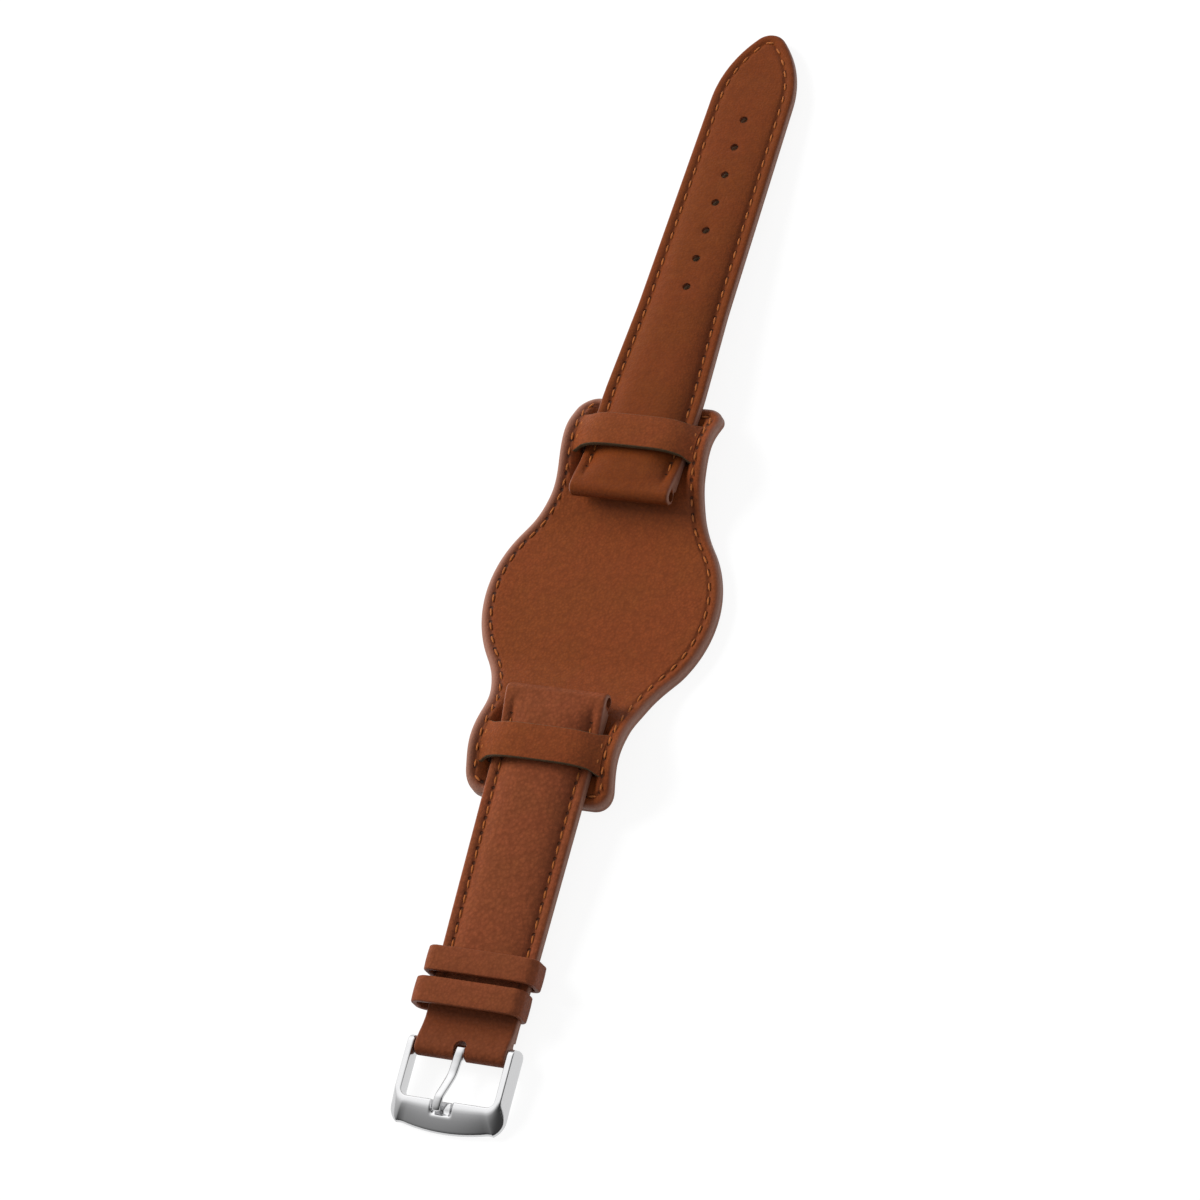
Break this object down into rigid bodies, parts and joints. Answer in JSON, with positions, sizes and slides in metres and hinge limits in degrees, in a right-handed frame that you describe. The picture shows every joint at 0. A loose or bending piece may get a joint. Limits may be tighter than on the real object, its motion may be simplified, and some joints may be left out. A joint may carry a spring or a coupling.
{
  "type": "leather watch strap",
  "caption": "Two-piece padded leather watch strap threaded through the bridges of a wide backing pad, with keepers and a spring-bar pin buckle.",
  "frame": {"origin": "middle of the backing pad's flat back face, the face that lies on the wrist", "axes": "+Y along the strap towards the pointed tip, +Z out of the pad towards the watch, +X to the right with the tip up"},
  "size_m": [0.0508, 0.2505, 0.0116],
  "materials": {
    "tan_face": "satin, fine grain",
    "lining": "matt, smooth",
    "thread": "waxed thread",
    "filler": "compressed fibre",
    "polished_steel": "mirror polished",
    "spring_steel": "drawn wire and turned pins"
  },
  "bodies": {
    "pad": {"pad_lining": "lining", "pad_face": "tan_face", "pad_stitching": "thread", "bridge_tacks": "thread"},
    "tail": {"tail_lining": "lining", "tail_filler": "filler", "tail_upper": "tan_face", "tail_stitching": "thread"},
    "buckle_strap": {"buckle_strap_lining": "lining", "buckle_strap_filler": "filler", "buckle_strap_upper": "tan_face", "buckle_strap_stitching": "thread", "fixed_keeper": "tan_face", "bar_barrel": "spring_steel", "bar_spring": "spring_steel"},
    "free_keeper": {"free_keeper": "tan_face"},
    "frame": {"buckle_frame": "polished_steel"},
    "tongue": {"buckle_tongue": "polished_steel"},
    "left_plunger": {"bar_plunger_left": "spring_steel"},
    "right_plunger": {"bar_plunger_right": "spring_steel"}
  },
  "joints": [
    {"name": "tail_threads", "type": "slide", "parent": "pad", "child": "tail", "axis": [0, 0.9986, -0.0523], "range_m": [-0.01, 0.004]},
    {"name": "buckle_strap_threads", "type": "slide", "parent": "pad", "child": "buckle_strap", "axis": [0, -0.9976, -0.0698], "range_m": [-0.01, 0.004]},
    {"name": "free_keeper_slides", "type": "slide", "parent": "buckle_strap", "child": "free_keeper", "axis": [0, -0.9976, -0.0698], "range_m": [-0.018, 0.0012]},
    {"name": "frame_swings", "type": "hinge", "parent": "buckle_strap", "child": "frame", "pos_m": [0, -0.099, 0.00296], "axis": [-1, 0, 0], "range_deg": [-90, 30]},
    {"name": "tongue_swings", "type": "hinge", "parent": "frame", "child": "tongue", "pos_m": [0, -0.099, 0.00296], "axis": [-1, 0, 0], "range_deg": [0, 90]},
    {"name": "left_plunger_travels", "type": "slide", "parent": "buckle_strap", "child": "left_plunger", "axis": [1, 0, 0], "range_m": [0, 0.00115], "stiffness_N_per_m": 1500, "deforming": ["bar_spring"]},
    {"name": "right_plunger_travels", "type": "slide", "parent": "buckle_strap", "child": "right_plunger", "axis": [-1, 0, 0], "range_m": [0, 0.00115], "stiffness_N_per_m": 1500, "deforming": ["bar_spring"]}
  ]
}
